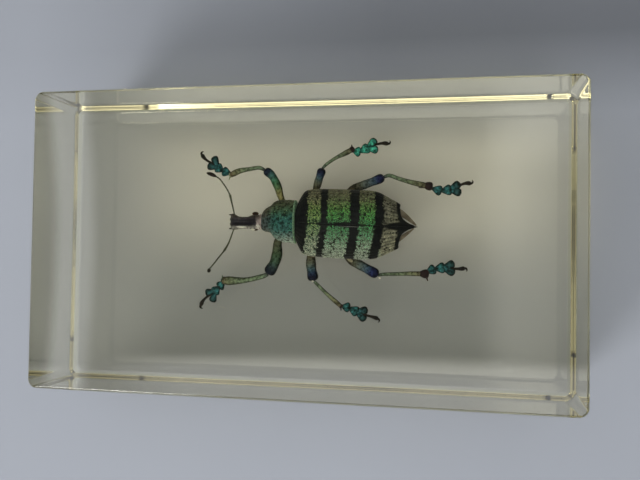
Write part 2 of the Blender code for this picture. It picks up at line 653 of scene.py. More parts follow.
def sowingTree(spacing, seed, size):
    # points spread evenly where "cover" allows, one plate on each, lying back along the body
    tree = bpy.data.node_groups.new("scaleSowing", "GeometryNodeTree")
    for way in ("INPUT", "OUTPUT"):
        tree.interface.new_socket(name="Geometry", in_out=way, socket_type="NodeSocketGeometry")

    def draw(low, high, step):
        # a random value for each plate
        inputs = {2: low, 3: high, "Seed": seed + step}
        return nodeOf(tree, "FunctionNodeRandomValue", inputs, data_type="FLOAT").outputs[1]

    cover = nodeOf(tree, "GeometryNodeInputNamedAttribute", {"Name": "cover"}, data_type="FLOAT")
    spread = nodeOf(tree, "GeometryNodeDistributePointsOnFaces", {
        "Mesh": nodeOf(tree, "NodeGroupInput").outputs[0],
        "Distance Min": spacing * mm,
        "Density Max": scaleShape["perArea"] / (spacing * mm) ** 2,
        "Density Factor": cover.outputs["Attribute"],
        "Seed": seed,
    }, distribute_method="POISSON")
    lie = nodeOf(tree, "FunctionNodeAlignRotationToVector", {
        "Rotation": spread.outputs["Rotation"],
        "Vector": (1.0, 0.0, 0.0),
    }, axis="X", pivot_axis="Z")
    angle = draw(-scaleShape["spin"], scaleShape["spin"], 1)
    spin = nodeOf(tree, "FunctionNodeAxisAngleToRotation", {"Angle": angle})
    turn = nodeOf(tree, "FunctionNodeRotateRotation", {
        "Rotation": lie.outputs["Rotation"],
        "Rotate By": spin.outputs["Rotation"],
    }, rotation_space="LOCAL")
    smallest, largest = scaleShape["growth"]
    place = nodeOf(tree, "GeometryNodeInstanceOnPoints", {
        "Points": spread.outputs["Points"],
        "Instance": nodeOf(tree, "GeometryNodeObjectInfo", {"Object": scaleStamp}).outputs["Geometry"],
        "Rotation": turn.outputs["Rotation"],
        "Scale": draw(smallest * size, largest * size, 2),
    })
    mark = nodeOf(tree, "GeometryNodeStoreNamedAttribute", {
        "Geometry": place.outputs["Instances"],
        "Name": "scaleChance",
        "Value": draw(0.0, 1.0, 3),
    }, data_type="FLOAT", domain="INSTANCE")
    solid = nodeOf(tree, "GeometryNodeRealizeInstances", {"Geometry": mark.outputs["Geometry"]})
    nodeOf(tree, "NodeGroupOutput", {0: solid.outputs["Geometry"]})
    return tree


def sowScales(bm, name, finish, seed, spacing=scaleShape["spacing"], size=1.0):
    mesh = bpy.data.meshes.new(name)
    bm.to_mesh(mesh)
    field = bpy.data.objects.new(name + "Field", mesh)
    bpy.context.scene.collection.objects.link(field)
    sower = field.modifiers.new("sowing", "NODES")
    sower.node_group = sowingTree(spacing, seed, size)
    graph = bpy.context.evaluated_depsgraph_get()
    grown = bpy.data.meshes.new_from_object(
        field.evaluated_get(graph), preserve_all_data_layers=True, depsgraph=graph
    )
    bpy.data.objects.remove(field)
    grown.name = name
    grown.shade_smooth()
    print(f"  {name}: {len(grown.polygons) // len(scaleStamp.data.polygons)} scales")
    return showMesh(grown, name, finish)


blockEdges = {
    # the corner radius stays larger than the lower rim, or the lower face folds over itself
    "cornerRadius": 1.2,
    "lowerRim": 0.9,
    "upperRim": 0.4,
    "segments": 10,
}


def roundOff(bm, edges, radius):
    bmesh.ops.bevel(
        bm, geom=edges, offset=radius * mm, offset_type="OFFSET", affect="EDGES",
        segments=blockEdges["segments"], profile=0.5, material=-1,
    )


def makeBlock():
    bm = bmesh.new()
    bmesh.ops.create_cube(bm, size=1.0)
    bmesh.ops.scale(bm, vec=blockHigh - blockLow, verts=bm.verts)
    bmesh.ops.translate(bm, vec=blockMiddle, verts=bm.verts)
    tolerance = 1e-6
    upright = [e for e in bm.edges if abs(e.verts[0].co.z - e.verts[1].co.z) > tolerance]
    roundOff(bm, upright, blockEdges["cornerRadius"])
    lower = [e for e in bm.edges if all(abs(v.co.z - blockLow.z) < tolerance for v in e.verts)]
    roundOff(bm, lower, blockEdges["lowerRim"])
    upper = [e for e in bm.edges if all(abs(v.co.z - blockHigh.z) < tolerance for v in e.verts)]
    roundOff(bm, upper, blockEdges["upperRim"])
    bmesh.ops.recalc_face_normals(bm, faces=bm.faces)
    block = showPiece(bm, "castBlock", resinFinish)
    evener = block.modifiers.new("evenNormals", "WEIGHTED_NORMAL")
    evener.weight = 100
    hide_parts("resin_block")
    return block


makeBlock()
print("block ready")


# place along the body, half width to the right and to the left, top and bottom
snoutStops = [
    (-9.38, 0.60, 0.60, 0.05, -0.70),
    (-9.25, 1.00, 0.95, 0.30, -0.90),
    (-9.00, 1.12, 1.14, 0.48, -0.95),
    (-8.65, 0.98, 1.14, 0.58, -0.95),
    (-8.20, 0.74, 1.02, 0.64, -0.85),
    (-7.40, 0.66, 0.96, 0.72, -0.80),
    (-6.80, 0.72, 0.96, 0.80, -0.85),
    (-6.25, 0.92, 1.02, 0.92, -0.95),
    (-5.70, 1.05, 1.06, 1.00, -1.05),
    (-5.30, 0.98, 1.05, 1.00, -1.10),
    (-5.00, 0.92, 1.00, 0.96, -1.05),
    (-4.40, 0.88, 0.90, 0.90, -1.00),
]
snoutRelief = {
    "grooveDepth": 0.22,
    "grooveWidth": 0.34,
    "keelHeight": 0.12,
    "keelAt": 0.56,
    "keelWidth": 0.12,
    "grain": 0.05,
}


def snoutSkin(step, angle):
    x = alongStops(snoutStops, step)
    right, left, top, bottom = curveAt(snoutStops, x)
    half = right if math.cos(angle) > 0 else left
    y = half * boxier(math.cos(angle), 0.8)
    lift = boxier(math.sin(angle), 0.8)
    z = (top if lift > 0 else -bottom) * lift
    if lift > 0:
        show = ramp01(x, -9.2, -8.7) * (1 - ramp01(x, -6.3, -5.8)) * lift
        z -= show * snoutRelief["grooveDepth"] * bump(y, snoutRelief["grooveWidth"])
        z += show * snoutRelief["keelHeight"] * bump(abs(y) - snoutRelief["keelAt"], snoutRelief["keelWidth"])
    rough = noise.noise(Vector((x, y, z)) * 4.5) * snoutRelief["grain"]
    return Vector((x, y * (1 + rough), z * (1 + rough)))


neckShape = {"start": -5.2, "length": 0.62, "half": 1.04, "foldHeight": 0.05, "folds": 4, "belly": 0.04}


def neckSkin(step, angle):
    x = neckShape["start"] + neckShape["length"] * step
    fold = neckShape["half"] + neckShape["foldHeight"] * math.sin(step * math.pi * neckShape["folds"])
    fold += neckShape["belly"] * math.sin(step * math.pi)
    return Vector((x, fold * math.cos(angle) * 0.96, fold * math.sin(angle)))


airGlintFilms = {
    # air pockets along the left side of the snout and the neck, drawn as pale silvery blobs: a painted glint
    "snout": ([(-8.55, -0.66, 0.55), (-7.7, -0.7, 0.66), (-6.95, -0.72, 0.74)], 0.15),
    "cheek": ([(-6.35, -1.0, 0.42), (-6.0, -1.06, 0.5), (-5.7, -1.06, 0.52)], 0.16),
    "neck": ([(-5.55, -0.42, 0.94), (-5.25, -0.55, 0.98), (-4.98, -0.72, 0.92)], 0.2),
}


jawShape = {
    # route on the right side, half width at the root and what it loses by the tip
    "jaw": ([(-9.15, 0.5, -0.45), (-9.4, 0.46, -0.5), (-9.55, 0.2, -0.52)], 0.2, 0.14),
    "prong": ([(-8.85, 0.85, -0.05), (-9.25, 0.94, 0.0), (-9.6, 0.98, 0.0)], 0.24, 0.19),
}
eyeShape = {
    "size": (0.44, 0.26, 0.34),
    "places": [(-5.76, -0.98, 0.22), (-5.76, 1.12, 0.22)],
    "inset": 0.006,
    "rise": 0.008,
}


def swell(t):
    return 0.25 + 0.75 * math.sin(math.pi * t)


def makeHead():
    bm = bmesh.new()
    growRings(bm, snoutSkin, 120, 64)
    placePiece(bm, foreBody, "head_and_snout", snoutFinish)

    bm = bmesh.new()
    for side in (-1, 1):
        for route, root, loss in jawShape.values():
            growLimb(bm, [(x, y * side, z) for x, y, z in route], lambda t: root - loss * t, sides=12)
    placePiece(bm, foreBody, "jaws", clawFinish)

    bm = bmesh.new()
    for middle in eyeShape["places"]:
        facets = bmesh.ops.create_icosphere(bm, subdivisions=4, radius=1.0)["verts"]
        bmesh.ops.scale(bm, vec=Vector(eyeShape["size"]), verts=facets)
        bmesh.ops.translate(bm, vec=Vector(middle), verts=facets)
    bmesh.ops.inset_individual(bm, faces=bm.faces[:], thickness=eyeShape["inset"], depth=eyeShape["rise"])
    placePiece(bm, foreBody, "eyes", eyeFinish, smooth=False)

    bm = bmesh.new()
    growRings(bm, neckSkin, 20, 56)
    placePiece(bm, foreBody, "neck_skin", membraneFinish)

    # painted glints where air lies against the head
    for place, (route, half) in airGlintFilms.items():
        bm = bmesh.new()
        growLimb(bm, route, lambda t: half * swell(t), sides=16, flat=0.45, steps=8)
        placePiece(bm, foreBody, "air_film_" + place, airGlintFinish)


makeHead()
print("head ready")


feelers = {
    "right": {
        "scape": [(-8.9, 0.98, -0.35), (-9.21, 2.63, 0.2), (-9.44, 3.7, 0.4)],
        "whip": [(-9.44, 3.7, 0.4), (-9.98, 4.64, 0.4), (-10.93, 5.85, 0.2), (-11.55, 6.3, 0.1)],
        "club": [(-11.5, 6.27, 0.1), (-12.3, 6.62, 0.0), (-13.05, 6.85, -0.1)],
    },
    "left": {
        "scape": [(-8.95, -1.0, -0.35), (-9.54, -2.93, 0.2), (-10.18, -4.1, 0.4)],
        "whip": [(-10.18, -4.1, 0.4), (-11.03, -5.13, 0.4), (-11.58, -5.82, 0.3), (-12.28, -6.6, 0.2)],
        "club": [(-12.25, -6.58, 0.2), (-12.45, -6.85, -0.25), (-12.62, -7.0, -0.8)],
    },
}
feelerGirth = {
    "scape": 0.14,
    "whip": 0.095,
    "beads": 7,
    "club": 0.27,
    "clubStops": [(0.0, 0.3), (0.25, 0.85), (0.55, 1.0), (0.85, 0.7), (1.0, 0.12)],
}


def beadedGirth(t):
    bead = math.sin(math.pi * feelerGirth["beads"] * t) ** 2
    return feelerGirth["whip"] * (1.0 + 0.4 * bead - 0.2)


def clubGirth(t):
    return feelerGirth["club"] * curveAt(feelerGirth["clubStops"], t)[0]


def makeFeelers():
    for side, parts in feelers.items():
        bm = bmesh.new()
        growLimb(bm, parts["scape"], lambda t: feelerGirth["scape"] * (0.7 + 0.6 * t**3), sides=12, steps=14)
        growLimb(bm, parts["whip"], beadedGirth, sides=12, steps=26)
        placePiece(bm, toWaist, "feeler_" + side, antennaFinish)
        bm = bmesh.new()
        growLimb(bm, parts["club"], clubGirth, sides=16, steps=10)
        placePiece(bm, toWaist, "feeler_club_" + side, clawFinish)


makeFeelers()
print("feelers ready")


# place along the body, half width to the right and to the left, top and bottom
pronotumStops = [
    (-4.84, 0.95, 0.95, 1.00, -1.10),
    (-4.76, 1.25, 1.15, 1.28, -1.35),
    (-4.50, 1.62, 1.28, 1.55, -1.60),
    (-4.10, 1.95, 1.34, 1.82, -1.80),
    (-3.75, 2.12, 1.38, 2.06, -1.95),
    (-3.45, 2.34, 1.60, 2.30, -2.05),
    (-3.15, 2.64, 2.00, 2.50, -2.15),
    (-2.75, 2.84, 2.34, 2.68, -2.25),
    (-2.20, 2.96, 2.56, 2.82, -2.35),
    (-1.40, 3.00, 2.74, 2.92, -2.40),
    (-0.70, 2.98, 2.86, 2.88, -2.40),
    (-0.25, 2.92, 2.90, 2.72, -2.35),
    (0.00, 2.86, 2.84, 2.60, -2.30),
    (0.15, 2.45, 2.45, 2.25, -2.00),
]
pronotumRelief = {"granule": 0.36, "granuleHeight": 0.075, "grooveDepth": 0.12, "grooveWidth": 0.08}


def pronotumSkin(step, angle):
    x = alongStops(pronotumStops, step)
    right, left, top, bottom = curveAt(pronotumStops, x)
    out = Vector((0.0, math.cos(angle), math.sin(angle)))
    y = (right if out.y > 0 else left) * boxier(out.y, 0.92)
    z = (top if out.z > 0 else -bottom) * boxier(out.z, 0.92)
    spot = Vector((x, y, z))
    nearest = noise.voronoi(spot / pronotumRelief["granule"])[0][0]
    middle = ramp01(x, -4.6, -4.2) * (1 - ramp01(x, -0.35, -0.15))
    rise = pronotumRelief["granuleHeight"] * max(0.0, 1 - (nearest / 0.55) ** 2) * middle
    rise += 0.06 * bump(x + 0.12, 0.09)
    if out.z > 0:
        length = ramp01(x, -3.7, -3.4) * (1 - ramp01(x, -2.2, -1.9))
        rise -= length * pronotumRelief["grooveDepth"] * bump(y, pronotumRelief["grooveWidth"])
    return spot + out * rise


def pronotumCover(spot):
    # how thick the scales lie at a place, in the weevil's own millimetres
    thick = 0.15 + 0.85 * ramp01(spot.x, -4.2, -3.1)
    thick *= 0.1 + 0.9 * ramp01(noise.noise(spot * 3.4) + 0.5 * noise.noise(spot * 7.0), -0.45, 0.0)
    nearest = noise.voronoi(spot / pronotumRelief["granule"])[0][0]
    thick *= 1.0 if nearest < 0.34 else 0.06
    groove = bump(spot.y, 0.1) * ramp01(spot.x, -3.7, -3.4) * (1 - ramp01(spot.x, -2.2, -1.9))
    thick *= (1 - groove) * (0.35 if spot.z < -0.4 else 1.0)
    thick = max(thick, 0.8 * bump(spot.x + 0.1, 0.07))
    return min(max(thick, 0.0), 1.0)


def makePronotum():
    bm = bmesh.new()
    growRings(bm, pronotumSkin, 90, 280)
    markCover(bm, pronotumCover)
    tidyMesh(bm, foreBody)
    sowScales(bm, "pronotum_scales", pronotumScaleFinish, seed=21, spacing=0.12, size=0.95)
    showPiece(bm, "pronotum", collarFinish)


makePronotum()
print("pronotum ready")


caseWidth = [
    (0.0, 2.7), (0.45, 3.3), (1.1, 4.22), (1.8, 4.48), (3.5, 4.62), (8.0, 4.66), (10.0, 4.6),
    (11.2, 4.38), (12.0, 4.0), (13.0, 3.48), (14.0, 2.95), (15.0, 2.3), (16.5, 1.5),
]
caseTop = [
    (0.0, 2.35), (0.8, 2.9), (2.0, 3.32), (5.0, 3.6), (8.0, 3.52), (10.0, 3.2),
    (11.5, 2.7), (13.0, 1.8), (14.0, 0.95), (15.0, 0.1), (16.5, -1.1),
]
caseMargin = [
    (0.0, 0.15), (2.0, 0.0), (10.0, 0.0), (12.0, 0.05), (13.0, 0.05), (14.0, -0.15), (15.0, -0.7),
    (16.5, -1.4),
]
# how far back each line of the case reaches, from the outer margin (1) to the seam (0)
caseEnd = [
    (0.0, 16.45), (0.05, 16.0), (0.12, 15.3), (0.22, 14.75), (0.42, 14.3), (0.8, 14.05),
    (1.00, 14.0),
]
caseStart = [(0.0, 0.02), (0.5, 0.1), (0.8, 0.35), (1.0, 0.75)]
caseRelief = {
    "rows": 10,
    "rowDepth": 0.022,
    "pitStep": 0.34,
    "pitDepth": 0.07,
    "wall": 0.10,
    "seamGap": 0.012,
    "under": 25.0,
}
caseBands = {
    # first and last edge of each band along the body, at the seam
    "bands": [(1.92, 3.74), (4.62, 7.66), (8.92, 10.92), (12.05, 13.9)],
    "slant": 0.050,
    "bow": -0.026,
    "ragged": 0.20,
    "hole": 0.60,
}


def casePoint(x, angle, side):
    half, = curveAt(caseWidth, x)
    top, = curveAt(caseTop, x)
    margin, = curveAt(caseMargin, x)
    flatCos, sine = math.cos(angle), math.sin(angle)
    y = half * abs(flatCos) ** 0.90
    z = margin + (top - margin) * sine**0.92 if sine > 0 else margin + 2.3 * sine
    out = Vector((0.0, flatCos / half, sine / max(top - margin, 0.3))).normalized()
    return Vector((x, y * side, z)), Vector((0.0, out.y * side, out.z))


def caseAt(u, v, side):
    # u runs from the waist to the tail, v from the seam over the back to the edge underneath
    angle = math.radians(90.0 - v * (90.0 + caseRelief["under"]))
    reach = abs(math.cos(angle)) if angle > 0 else 1.0
    first, = curveAt(caseStart, reach)
    last, = curveAt(caseEnd, reach)
    x = first + (last - first) * u
    spot, out = casePoint(x, angle, side)
    row = v * (90.0 + caseRelief["under"]) / 90.0 * caseRelief["rows"]
    line = bump(row % 1.0 - 0.5, 0.17)
    shift = 0.5 * (int(row) % 2) + 0.5 * noise.noise(Vector((x * 1.7, row, 0.0)))
    pit = bump((x / caseRelief["pitStep"] + shift) % 1.0 - 0.5, 0.24) * bump(row % 1.0 - 0.5, 0.26)
    calm = ramp01(u, 0.0, 0.03) * (1 - ramp01(u, 0.985, 1.0)) * ramp01(v, 0.0, 0.02)
    sink = calm * (caseRelief["rowDepth"] * line + caseRelief["pitDepth"] * pit)
    sink += 0.02 * noise.noise(spot * 1.3)
    spot -= out * sink
    spot.y += caseRelief["seamGap"] * side
    return spot, pit, line


def bandCover(spot, pit, line, u, v):
    # scales lie in the bands, thin at their ragged edges and missing from the pits; the wash under
    # them has the same outline
    wander = caseBands["ragged"] * noise.noise(Vector((spot.x * 2.3, spot.y * 2.3, 3.1)))
    wander += 0.22 * noise.noise(Vector((spot.x * 5.0, spot.y * 5.0, 9.7)))
    place = spot.x - caseBands["slant"] * spot.y - caseBands["bow"] * spot.y**2 + wander
    inBand = 0.0
    for first, last in caseBands["bands"]:
        started = ramp01(place, first - 0.06, first + 0.10)
        ended = ramp01(place, last - 0.10, last + 0.06)
        inBand = max(inBand, started * (1 - ended))
    seam = 0.1 + 0.26 * bump(spot.x - 7.2, 1.6) + 0.22 * bump(spot.x - 4.2, 0.7)
    seam += 0.45 * ramp01(spot.x, 11.5, 14.0)
    inBand *= ramp01(abs(spot.y), seam - 0.08, seam + 0.12)
    inBand *= 1 - ramp01(u, 0.955, 0.975)
    inBand *= 1 - ramp01(v, 0.80, 0.86)
    holes = noise.voronoi(spot / caseBands["hole"])[0][0]
    thin = 0.02 + 0.98 * ramp01(holes, 0.24, 0.36)
    thin *= 0.45 + 0.55 * ramp01(noise.noise(spot * 4.2), -0.3, 0.02)
    tail = ramp01(spot.x, 11.6, 12.0)
    flank = ramp01(spot.y, 2.7, 3.6)
    thin *= (1 - 0.8 * line * tail) * (1 - 0.85 * tail) * (1 - 0.55 * flank)
    ribs = 1 - 0.3 * tail * bump((spot.x / 0.42) % 1.0 - 0.5, 0.1) - 0.5 * line * max(tail, 0.5 * flank)
    wash = inBand * (1 - 0.5 * ramp01(pit, 0.35, 0.7)) * ribs * (0.1 + 0.9 * ramp01(holes, 0.2, 0.34))
    return inBand * thin * (1 - 0.5 * ramp01(pit, 0.25, 0.55)), wash


def makeWingCase(sideName, side, seed):
    bm = bmesh.new()
    bmesh.ops.create_grid(bm, x_segments=232, y_segments=88, size=1.0)
    cover = bm.verts.layers.float.new("cover")
    wash = bm.verts.layers.float.new("wash")
    for vert in bm.verts:
        u, v = (vert.co.x + 1) / 2, (vert.co.y + 1) / 2
        spot, pit, line = caseAt(u, v, side)
        vert[cover], vert[wash] = bandCover(spot, pit, line, u, v)
        vert.co = spot
    for face in bm.faces:
        face.smooth = True
    bmesh.ops.recalc_face_normals(bm, faces=bm.faces)
    if sum(face.normal.z * face.calc_area() for face in bm.faces) < 0:
        bmesh.ops.reverse_faces(bm, faces=bm.faces)
    bmesh.ops.transform(bm, matrix=hindBody, verts=bm.verts)
    sowScales(bm, "band_scales_" + sideName, bandFinish, seed)
    bmesh.ops.solidify(bm, geom=bm.faces[:], thickness=caseRelief["wall"] * mm)
    showPiece(bm, "wing_case_" + sideName, caseFinish)


makeWingCase("right", 1, 31)
makeWingCase("left", -1, 32)
print("wing cases ready")


# place along the body, half width, top and bottom
bellyStops = [
    (-0.10, 2.30, 1.6, -2.00),
    (0.60, 3.30, 2.0, -2.45),
    (2.00, 4.10, 2.4, -2.75),
    (5.00, 4.28, 2.6, -2.80),
    (8.00, 4.25, 2.5, -2.70),
    (10.00, 4.05, 2.2, -2.45),
    (12.00, 3.30, 1.4, -2.10),
    (13.20, 2.40, 0.6, -1.80),
    (13.90, 1.70, 0.0, -1.60),
    (14.50, 0.95, -0.5, -1.50),
    (15.20, 0.45, -0.9, -1.45),
    (15.90, 0.20, -1.15, -1.40),
]
bellyFolds = [4.9, 7.4, 9.3, 10.9, 12.4]


def bellySkin(step, angle):
    x = alongStops(bellyStops, step)
    half, top, bottom = curveAt(bellyStops, x)
    middle = (top + bottom) / 2
    fold = sum(bump(x - at - 0.15 * math.cos(angle) ** 2, 0.09) for at in bellyFolds)
    shrink = 1 - 0.035 * fold + 0.012 * noise.noise(Vector((x, angle, 0.0)) * 2.5)
    y = half * boxier(math.cos(angle), 0.9) * shrink
    z = middle + (top - middle) * math.sin(angle) * shrink
    return Vector((x, y, z))


def bellyCover(spot):
    sides = ramp01(abs(spot.y), 2.6, 3.6) * (1 - ramp01(spot.z, -0.6, -0.1))
    return sides * ramp01(noise.noise(spot * 1.4), -0.1, 0.25)


def makeUnderside():
    bm = bmesh.new()
    growRings(bm, bellySkin, 170, 72)
    markCover(bm, bellyCover)
    tidyMesh(bm, hindBody)
    sowScales(bm, "belly_scales", limbScaleFinishes["tibia"], seed=41, spacing=0.16)
    showPiece(bm, "abdomen_and_breast", bellyFinish)

    bm = bmesh.new()
    route = [(0.05, 0.0, 2.28), (0.45, 0.0, 2.62), (0.85, 0.0, 2.8)]
    growLimb(bm, route, lambda t: 0.26 - 0.20 * t, flat=0.5)
    placePiece(bm, foreBody, "scutellum", blackFinish)


makeUnderside()
print("underside ready")


legs = {
    "front_right": {
        "femur": [
            (-1.9, 2.0, -2.2), (-2.59, 3.61, -1.9), (-2.98, 5.04, -1.4), (-3.73, 6.47, -0.9),
            (-4.75, 7.25, -0.7),
        ],
        "tibia": [
            (-4.75, 7.25, -0.7), (-5.6, 7.56, -0.9), (-7.06, 7.43, -1.5), (-8.63, 7.25, -2.3),
            (-10.05, 6.78, -3.1),
        ],
        "spur": (-10.45, 6.05, -3.5),
        "pads": [(-10.15, 6.95, -3.4), (-11.35, 7.35, -3.7), (-12.35, 7.95, -4.0)],
        "lobes": [(-12.85, 9.35, -4.1), (-13.65, 8.15, -4.1)],
        "claw": [(-12.7, 8.3, -3.9), (-14.05, 9.05, -4.1), (-14.85, 9.85, -4.6)],
        "curl": 1, "colours": "frontFemurRight",
        "femurHalf": 0.6, "tibiaHalf": 0.35, "flare": 1.25, "tipHalf": 0.34, "tipFinish": "pale",
    },
    "front_left": {
        "femur": [
            (-2.0, -1.4, -2.2), (-2.84, -2.6, -1.9), (-2.88, -4.39, -1.4), (-3.19, -5.75, -0.9),
            (-4.05, -7.22, -0.7),
        ],
        "tibia": [
            (-4.05, -7.22, -0.7), (-5.0, -7.58, -0.9), (-7.4, -8.12, -1.7), (-9.97, -8.27, -2.8),
            (-10.95, -8.25, -3.2),
        ],
        "spur": (-11.15, -7.55, -3.3),
        "pads": [(-10.85, -8.45, -3.4), (-11.65, -9.2, -3.7), (-12.4, -9.95, -3.9)],
        "lobes": [(-13.6, -10.1, -4.1), (-12.7, -11.25, -4.1)],
        "claw": [(-12.8, -10.2, -3.9), (-13.95, -11.05, -4.1), (-14.55, -11.95, -4.4)],
        "curl": -1, "colours": "frontFemurLeft",
        "femurHalf": 0.8, "tibiaHalf": 0.44, "flare": 1.4, "tipHalf": 0.38, "tipFinish": "green",
    },
    "middle_right": {
        "femur": [(1.7, 3.0, -2.6), (2.33, 4.53, -2.4), (2.8, 5.79, -1.6), (3.4, 7.35, -0.8)],
        "tibia": [
            (3.4, 7.35, -0.8), (3.95, 7.95, -0.95), (5.11, 8.88, -1.8), (6.25, 9.56, -2.7),
            (7.20, 10.15, -3.3),
        ],
        "spur": (7.15, 10.85, -3.3),
        "pads": [(7.35, 9.95, -3.4), (8.25, 9.85, -3.6), (9.4, 10.45, -3.9)],
        "lobes": [(10.35, 11.5, -4.1), (10.6, 10.15, -4.1)],
        "claw": [(9.7, 10.75, -3.9), (11.35, 11.05, -4.1), (12.15, 11.0, -4.5)],
        "curl": -1, "colours": "midFemur",
        "femurHalf": 0.58, "tibiaHalf": 0.28, "flare": 1.35, "tipHalf": 0.42, "tipFinish": "brown",
        "padColours": "brightPads",
    },
    "middle_left": {
        "femur": [(1.5, -2.9, -2.6), (1.76, -4.36, -2.4), (1.93, -5.99, -1.6), (2.38, -7.95, -0.8)],
        "tibia": [(2.38, -7.95, -0.8), (3.0, -8.6, -1.2), (4.15, -9.78, -2.0), (5.95, -11.45, -3.3)],
        "spur": (5.95, -12.1, -3.5),
        "pads": [(6.05, -11.45, -3.4), (7.05, -11.65, -3.6), (8.2, -12.25, -3.9)],
        "lobes": [(9.45, -11.95, -4.1), (9.2, -13.2, -4.1)],
        "claw": [(8.7, -12.45, -3.9), (10.3, -12.85, -4.1), (11.05, -13.1, -4.5)],
        "curl": 1, "colours": "midFemur",
        "femurHalf": 0.74, "tibiaHalf": 0.28, "flare": 1.1, "tipHalf": 0.3, "tipFinish": "brown",
    },
    "hind_right": {
        "femur": [
            (5.9, 3.0, -2.6), (7.33, 4.58, -2.4), (8.92, 5.12, -1.9), (10.61, 5.67, -1.2),
            (11.85, 6.15, -0.8),
        ],
        "tibia": [
            (11.85, 6.15, -0.8), (12.6, 6.35, -1.1), (13.94, 5.92, -1.7), (15.66, 5.47, -2.5),
            (17.75, 5.05, -3.2),
        ],
        "spur": (16.4, 4.85, -3.0),
        "pads": [(18.15, 4.75, -3.3), (19.35, 4.4, -3.6), (20.65, 4.6, -3.9)],
        "lobes": [(21.75, 5.4, -4.1), (21.9, 4.2, -4.1)],
        "claw": [(21.0, 4.85, -3.9), (22.55, 5.45, -4.1), (23.35, 5.45, -4.5)],
        "curl": -1, "colours": "hindFemur",
        "femurHalf": 0.62, "tibiaHalf": 0.34, "flare": 1.15, "tipHalf": 0.58, "tipFinish": "brown",
    },
    "hind_left": {
        "femur": [
            (5.9, -3.2, -2.6), (7.22, -5.01, -2.4), (8.38, -5.61, -1.9), (9.81, -6.32, -1.2),
            (11.20, -7.05, -0.8),
        ],
        "tibia": [
            (11.2, -7.05, -0.8), (12.0, -6.93, -1.1), (13.42, -6.87, -1.7), (15.26, -6.8, -2.5),
            (17.35, -6.80, -3.2),
        ],
        "spur": (17.75, -7.75, -3.5),
        "pads": [(17.55, -6.6, -3.3), (18.6, -6.1, -3.6), (19.85, -5.92, -3.9)],
        "lobes": [(21.1, -5.35, -4.1), (21.15, -6.6, -4.1)],
        "claw": [(20.2, -6.0, -3.9), (21.9, -6.05, -4.1), (22.65, -5.95, -4.5)],
        "curl": 1, "colours": "hindFemur",
        "femurHalf": 0.68, "tibiaHalf": 0.3, "flare": 1.1, "tipHalf": 0.6, "tipFinish": "brown",
    },
}
limbShape = {
    "femur": [
        (0.0, 0.55), (0.25, 0.72), (0.55, 0.96), (0.74, 0.9), (0.86, 1.02), (0.93, 1.0),
        (0.98, 0.72), (1.0, 0.25),
    ],
    "tibia": [(0.0, 0.6), (0.1, 0.75), (0.5, 0.88), (0.85, 1.0), (1.0, 0.85)],
    "tip": [(0.0, 0.45), (0.45, 0.95), (0.8, 1.0), (0.95, 0.75), (1.0, 0.25)],
    "lobe": [(0.0, 0.35), (0.35, 0.7), (0.72, 1.0), (0.9, 0.85), (0.97, 0.55), (1.0, 0.15)],
    "claw": [(0.0, 0.17), (0.55, 0.19), (0.85, 0.3), (0.95, 0.25), (1.0, 0.08)],
}
footShape = {"padHalf": (0.4, 0.44), "padSpread": 0.36, "lobeHalf": 0.56, "flat": 0.55, "hook": 0.19}
up = Vector((0.0, 0.0, 1.0))


def girthOf(shape, half):
    return lambda t: half * curveAt(limbShape[shape], t)[0]


def growPad(bm, start, end, spread, half):
    # a heart-shaped foot pad: two lobes that part towards the claw
    start, end = Vector(start), Vector(end)
    across = (end - start).cross(up).normalized()
    for side in (-1, 1):
        tip = end + across * spread * side
        growLobe(bm, start, tip, half)


def growLobe(bm, start, tip, half):
    ahead = (tip - start).normalized()
    route = [start, between(start, tip, 0.5) + up * 0.06, tip + ahead * half * 0.35]
    growLimb(bm, route, girthOf("lobe", half), sides=20, flat=footShape["flat"], steps=9)


def makeFoot(name, leg):
    bm = bmesh.new()
    pads = [Vector(p) for p in leg["pads"]]
    for i, half in enumerate(footShape["padHalf"]):
        growPad(bm, pads[i], pads[i + 1], footShape["padSpread"], half)
    placePiece(bm, toWaist, "foot_pads_" + name, limbFinishes[leg.get("padColours", "pads")])

    bm = bmesh.new()
    for lobe in leg["lobes"]:
        growLobe(bm, between(pads[1], pads[2], 0.8), Vector(lobe), footShape["lobeHalf"])
    placePiece(bm, toWaist, "foot_lobes_" + name, limbFinishes[leg.get("padColours", "lobes")])


def makeClaws(name, leg):
    bm = bmesh.new()
    growLimb(bm, leg["claw"], girthOf("claw", 1.0), sides=14, steps=12)
    tip, before = Vector(leg["claw"][-1]), Vector(leg["claw"][-2])
    onward = (tip - before).normalized()
    across = onward.cross(up).normalized() * leg["curl"]
    for lift in (-0.16, 0.12):
        hook = [
            tip - onward * 0.15 + up * lift * 0.4,
            tip + onward * 0.16 + across * 0.06 + up * lift,
            tip + onward * 0.26 + across * 0.28 + up * lift,
            tip + onward * 0.16 + across * 0.52 + up * (lift - 0.08),
        ]
        growLimb(bm, hook, lambda t: footShape["hook"] * (1.02 - t) ** 0.7, sides=12, steps=6)
    placePiece(bm, toWaist, "claws_" + name, clawFinish)


def makeFemur(name, leg, seed):
    bm = bmesh.new()
    growLimb(bm, leg["femur"], girthOf("femur", leg["femurHalf"]), sides=28, flat=0.85, steps=16)
    markCover(bm, lambda spot: 0.8 * ramp01(noise.noise(spot * 2.1), -0.35, 0.1))
    tidyMesh(bm, toWaist)
    sowScales(bm, "femur_scales_" + name, limbScaleFinishes[leg["colours"]], seed, 0.12, 0.75)
    showPiece(bm, "femur_" + name, limbFinishes[leg["colours"]])

    bm = bmesh.new()
    hip = Vector(leg["femur"][0])
    inward = Vector((0.0, -0.5 * math.copysign(1, hip.y), 0.5))
    route = [hip + inward, hip, between(hip, leg["femur"][1], 0.35)]
    growLimb(bm, route, lambda t: 0.62 * math.sqrt(max(0.02, 1 - (2 * t - 1) ** 4)), sides=20)
    placePiece(bm, toWaist, "hip_" + name, bellyFinish)


